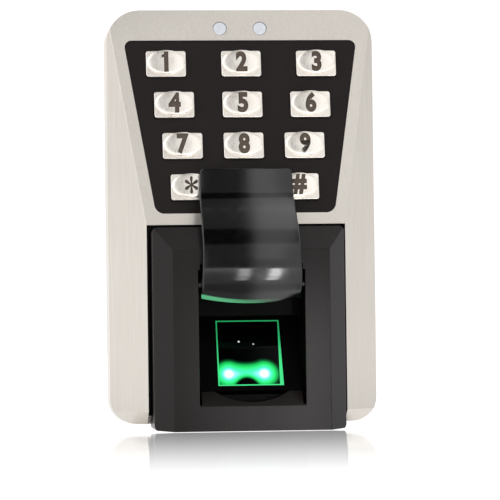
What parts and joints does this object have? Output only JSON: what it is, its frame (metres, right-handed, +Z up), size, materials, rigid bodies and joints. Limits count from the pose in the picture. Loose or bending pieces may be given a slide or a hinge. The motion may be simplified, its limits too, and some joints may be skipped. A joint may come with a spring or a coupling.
{
  "type": "fingerprint scanner terminal",
  "caption": "Wall-mounted door-access terminal: wedge-shaped brushed metal casing, metal keypad, black scanner block with a lit finger well and a hinged flip cover.",
  "frame": {"origin": "centre of the casing's outline, on the wall side of the mounting bracket", "axes": "+Z up, +Y into the wall, so the keypad and scanner face -Y; +X to the right as seen from the front"},
  "size_m": [0.086, 0.0464, 0.1347],
  "materials": {
    "casing_metal": "fine vertical brush, satin",
    "panel_black": "satin black",
    "key_metal": "satin nickel plate",
    "block_abs": "fine spark-eroded satin",
    "well_abs": "polished black",
    "cover_gloss": "polished black",
    "status_lens": "milky, polished",
    "prism_glass": "polished optical glass",
    "light_guide": "clear, lit green",
    "green_led": "clear, lit green",
    "lens_glass": "coated glass",
    "shell_abs": "moulded, satin",
    "gasket_rubber": "matt",
    "bracket_steel": "zinc plated",
    "keypad_silicone": "matt",
    "circuit_board": "solder mask",
    "ribbon_film": "film",
    "chip_resin": "moulded resin",
    "relay_blue": "moulded",
    "battery_steel": "nickel plated",
    "header_green": "moulded",
    "led_package": "moulded",
    "plunger_acetal": "moulded",
    "screw_steel": "zinc plated"
  },
  "bodies": {
    "terminal": {"wall_bracket": "bracket_steel", "rear_shell": "shell_abs", "front_housing": "casing_metal", "housing_gasket": "gasket_rubber", "keypad_panel": "panel_black", "keypad_mat": "keypad_silicone", "keypad_board": "circuit_board", "keypad_ribbon": "ribbon_film", "main_board": "circuit_board", "processor": "chip_resin", "relay": "relay_blue", "buzzer": "chip_resin", "clock_battery": "battery_steel", "wiring_headers": "header_green", "status_lens_left": "status_lens", "status_lens_right": "status_lens", "status_leds": "led_package", "scanner_bezel": "block_abs", "sensor_frame": "well_abs", "scan_prism": "prism_glass", "light_guide": "light_guide", "scan_light_left": "green_led", "scan_light_right": "green_led", "camera_lens": "lens_glass", "camera_module": "chip_resin", "sensor_board": "circuit_board", "sensor_cable": "ribbon_film", "hinge_pin": "screw_steel", "tamper_switch": "chip_resin", "housing_screws": "screw_steel", "bezel_screws": "screw_steel", "board_screws": "screw_steel", "keypad_screws": "screw_steel", "lock_screw": "screw_steel"},
    "key_1": {"key_1": "key_metal"},
    "key_2": {"key_2": "key_metal"},
    "key_3": {"key_3": "key_metal"},
    "key_4": {"key_4": "key_metal"},
    "key_5": {"key_5": "key_metal"},
    "key_6": {"key_6": "key_metal"},
    "key_7": {"key_7": "key_metal"},
    "key_8": {"key_8": "key_metal"},
    "key_9": {"key_9": "key_metal"},
    "key_star": {"key_star": "key_metal"},
    "key_0": {"key_0": "key_metal"},
    "key_hash": {"key_hash": "key_metal"},
    "flip_cover": {"flip_cover": "cover_gloss"},
    "tamper_plunger": {"tamper_plunger": "plunger_acetal"}
  },
  "joints": [
    {"name": "key_1_press", "type": "slide", "parent": "terminal", "child": "key_1", "axis": [0, 0.9828, -0.1848], "range_m": [0, 0.001], "stiffness_N_per_m": 600, "springref_m": -0.0005},
    {"name": "key_2_press", "type": "slide", "parent": "terminal", "child": "key_2", "axis": [0, 0.9828, -0.1848], "range_m": [0, 0.001], "stiffness_N_per_m": 600, "springref_m": -0.0005},
    {"name": "key_3_press", "type": "slide", "parent": "terminal", "child": "key_3", "axis": [0, 0.9828, -0.1848], "range_m": [0, 0.001], "stiffness_N_per_m": 600, "springref_m": -0.0005},
    {"name": "key_4_press", "type": "slide", "parent": "terminal", "child": "key_4", "axis": [0, 0.9828, -0.1848], "range_m": [0, 0.001], "stiffness_N_per_m": 600, "springref_m": -0.0005},
    {"name": "key_5_press", "type": "slide", "parent": "terminal", "child": "key_5", "axis": [0, 0.9828, -0.1848], "range_m": [0, 0.001], "stiffness_N_per_m": 600, "springref_m": -0.0005},
    {"name": "key_6_press", "type": "slide", "parent": "terminal", "child": "key_6", "axis": [0, 0.9828, -0.1848], "range_m": [0, 0.001], "stiffness_N_per_m": 600, "springref_m": -0.0005},
    {"name": "key_7_press", "type": "slide", "parent": "terminal", "child": "key_7", "axis": [0, 0.9828, -0.1848], "range_m": [0, 0.001], "stiffness_N_per_m": 600, "springref_m": -0.0005},
    {"name": "key_8_press", "type": "slide", "parent": "terminal", "child": "key_8", "axis": [0, 0.9828, -0.1848], "range_m": [0, 0.001], "stiffness_N_per_m": 600, "springref_m": -0.0005},
    {"name": "key_9_press", "type": "slide", "parent": "terminal", "child": "key_9", "axis": [0, 0.9828, -0.1848], "range_m": [0, 0.001], "stiffness_N_per_m": 600, "springref_m": -0.0005},
    {"name": "key_star_press", "type": "slide", "parent": "terminal", "child": "key_star", "axis": [0, 0.9828, -0.1848], "range_m": [0, 0.001], "stiffness_N_per_m": 600, "springref_m": -0.0005},
    {"name": "key_0_press", "type": "slide", "parent": "terminal", "child": "key_0", "axis": [0, 0.9828, -0.1848], "range_m": [0, 0.001], "stiffness_N_per_m": 600, "springref_m": -0.0005},
    {"name": "key_hash_press", "type": "slide", "parent": "terminal", "child": "key_hash", "axis": [0, 0.9828, -0.1848], "range_m": [0, 0.001], "stiffness_N_per_m": 600, "springref_m": -0.0005},
    {"name": "flip_cover_hinge", "type": "hinge", "parent": "terminal", "child": "flip_cover", "pos_m": [0, -0.041, -0.0225], "axis": [1, 0, 0], "range_deg": [0, 193]},
    {"name": "tamper_press", "type": "slide", "parent": "terminal", "child": "tamper_plunger", "axis": [0, -1, 0], "range_m": [0, 0.001], "stiffness_N_per_m": 400, "springref_m": -0.0005}
  ]
}
